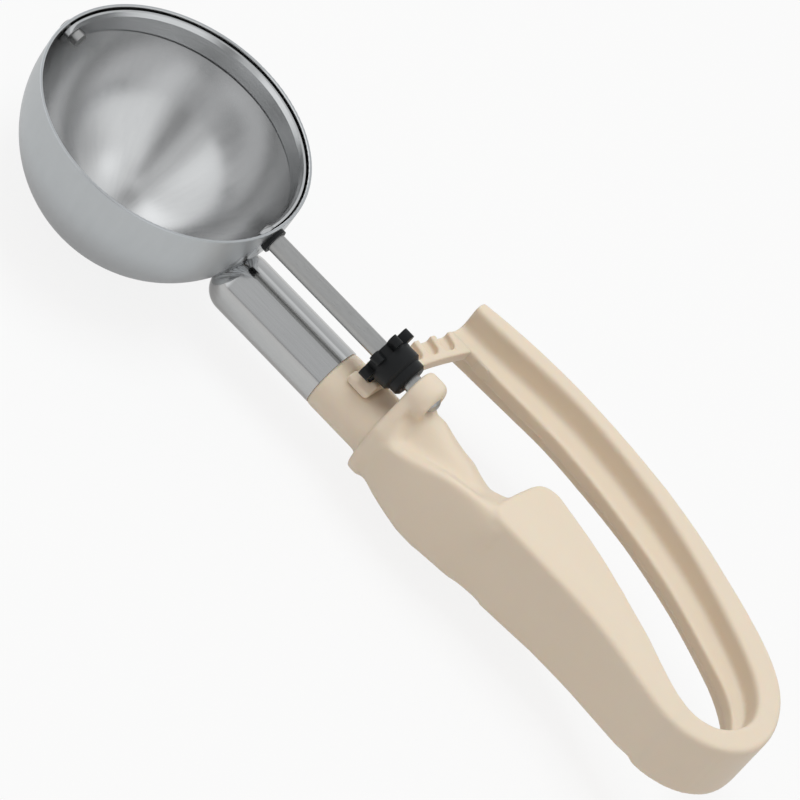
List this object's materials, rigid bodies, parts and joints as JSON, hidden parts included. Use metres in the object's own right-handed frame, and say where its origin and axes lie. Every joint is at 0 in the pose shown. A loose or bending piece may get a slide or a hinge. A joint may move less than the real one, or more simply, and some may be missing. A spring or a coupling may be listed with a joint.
{
  "type": "ice cream scoop",
  "caption": "Squeeze-handle portion scoop: a hemispherical bowl whose sweep blade is turned by a rack and pinion when the loop handle is squeezed.",
  "frame": {"origin": "centre of the bowl's mouth, in the plane of its rim", "axes": "+X from the bowl along the shank to the rear of the handle, +Y towards the squeeze lever, +Z out of the bowl's mouth"},
  "size_m": [0.2333, 0.0741, 0.0426],
  "materials": {
    "bowl_steel": "satin stainless steel",
    "tube_chrome": "polished",
    "rod_steel": "drawn and lightly polished",
    "blade_steel": "polished strip",
    "black_plastic": "moulded, semi-matte",
    "ivory_plastic": "moulded, slightly translucent"
  },
  "bodies": {
    "handle": {"bowl": "bowl_steel", "rod_bush": "black_plastic", "pivot_rivet": "rod_steel", "shank_tube": "tube_chrome", "grip_frame": "ivory_plastic"},
    "lever": {"squeeze_lever": "ivory_plastic"},
    "sweep": {"drive_rod": "rod_steel", "sweep_blade": "blade_steel", "pinion": "black_plastic"}
  },
  "joints": [
    {"name": "lever_squeeze", "type": "hinge", "parent": "handle", "child": "lever", "pos_m": [0.189, -0.008, -0.0122], "axis": [0, 0, 1], "range_deg": [0, 9.25], "stiffness_Nm_per_rad": 12, "springref_deg": -2.86},
    {"name": "blade_sweep", "type": "hinge", "parent": "handle", "child": "sweep", "pos_m": [0, 0, -0.00425], "axis": [-1, 0, 0], "range_deg": [0, 180]}
  ],
  "couplings": [
    {"joint": "blade_sweep", "follows": "lever_squeeze", "ratio": 19.442}
  ]
}
